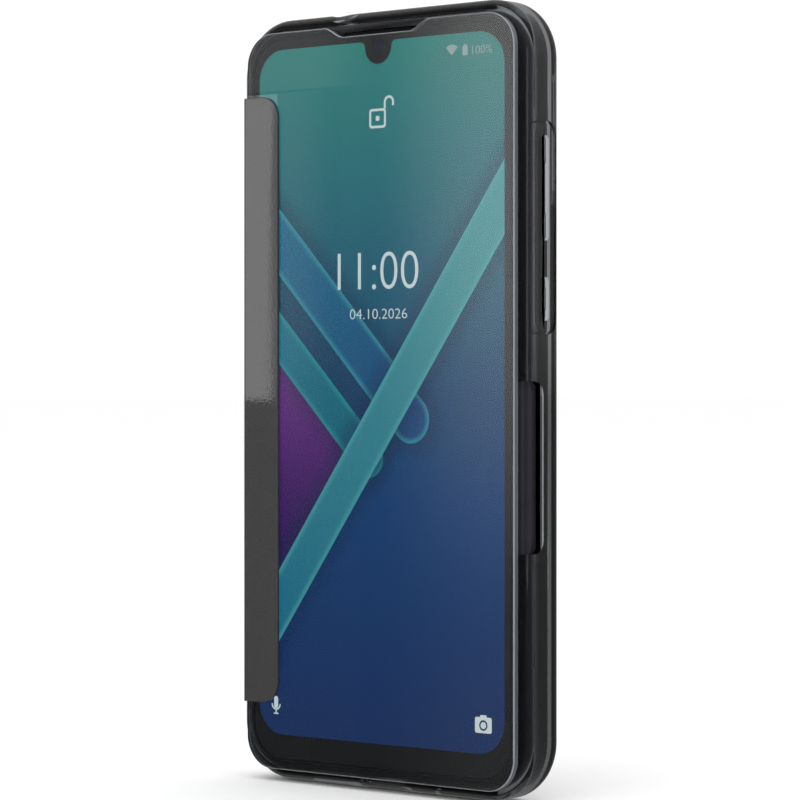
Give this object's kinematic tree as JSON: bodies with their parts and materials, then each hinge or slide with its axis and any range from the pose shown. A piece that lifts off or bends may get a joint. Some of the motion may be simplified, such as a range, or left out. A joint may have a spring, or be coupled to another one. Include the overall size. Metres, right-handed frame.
{
  "type": "personal digital assistant",
  "caption": "Touch-screen handset in a smoke-clear flip case: a see-through cover folds open on a leather-look strip, with side keys, plug openings and a removable back cover.",
  "frame": {"origin": "centre of the closed object's box on X and Y, on the bottom edge that it stands on", "axes": "+X to the right seen from the front, +Y from the screen to the back, +Z from the bottom edge to the top edge"},
  "size_m": [0.0778, 0.0132, 0.1564],
  "materials": {
    "smoke_shell": "smoke-tinted clear gloss moulding",
    "smoke_window": "hard clear plate with a faint smoke tint and polished bevels",
    "grey_leather": "fine-grained imitation leather",
    "cover_glass": "black-bordered cover glass",
    "screen": "lit display",
    "backlight_film": "white diffuser",
    "handset_side": "satin dark violet-grey",
    "key_metal": "brushed and anodised dark",
    "black_plastic": "fine moulded texture",
    "circuit_board": "solder-masked laminate",
    "tin_can": "tin-plated sheet",
    "bright_steel": "bright",
    "battery_wrap": "satin wrap",
    "copper_flex": "amber film over copper",
    "lens": "coated lens",
    "flash_lens": "ribbed pale lens",
    "fine_mesh": "fine ribbed mesh"
  },
  "bodies": {
    "handset": {"back_shell": "smoke_shell", "rear_strip": "grey_leather", "cover_glass": "cover_glass", "lcd_panel": "screen", "backlight_unit": "backlight_film", "front_frame": "handset_side", "earpiece_mesh": "fine_mesh", "back_cover": "handset_side", "side_key_flex": "copper_flex", "headphone_jack": "black_plastic", "usb_receptacle": "bright_steel", "loudspeaker": "black_plastic", "vibration_motor": "bright_steel", "front_camera": "lens", "earpiece_speaker": "black_plastic", "main_camera": "lens", "second_camera": "lens", "flash_lamp": "flash_lens", "camera_bezel": "bright_steel", "camera_glass": "lens", "main_board": "circuit_board", "radio_shield": "tin_can", "processor_shield": "tin_can", "sim_card_holder": "tin_can", "memory_card_holder": "tin_can", "sub_board": "circuit_board", "microphone": "tin_can", "battery": "battery_wrap", "main_flex": "copper_flex", "display_flex": "copper_flex", "upper_housing": "black_plastic", "lower_housing": "black_plastic", "housing_screw_1": "bright_steel", "housing_screw_2": "bright_steel", "housing_screw_3": "bright_steel", "housing_screw_4": "bright_steel", "housing_screw_5": "bright_steel", "housing_screw_6": "bright_steel", "housing_screw_7": "bright_steel", "housing_screw_8": "bright_steel"},
    "spine": {"spine_panel": "grey_leather"},
    "front_cover": {"front_window": "smoke_window", "cover_strip": "grey_leather"},
    "volume_rocker": {"volume_rocker": "key_metal"},
    "power_key": {"power_key": "key_metal"}
  },
  "joints": [
    {"name": "spine_fold", "type": "hinge", "parent": "handset", "child": "spine", "pos_m": [-0.0377, 0.00545, 0.0781], "axis": [0, 0, -1], "range_deg": [0, 180]},
    {"name": "cover_fold", "type": "hinge", "parent": "spine", "child": "front_cover", "pos_m": [-0.0366, -0.00455, 0.0781], "axis": [0, 0, -1], "range_deg": [0, 180]},
    {"name": "volume_rock", "type": "hinge", "parent": "handset", "child": "volume_rocker", "pos_m": [0.0354, 0.00125, 0.11935], "axis": [0, 1, 0], "range_deg": [-2, 2], "stiffness_Nm_per_rad": 0.2},
    {"name": "power_press", "type": "slide", "parent": "handset", "child": "power_key", "axis": [-1, 0, 0], "range_m": [0, 0.00035], "stiffness_N_per_m": 400}
  ]
}
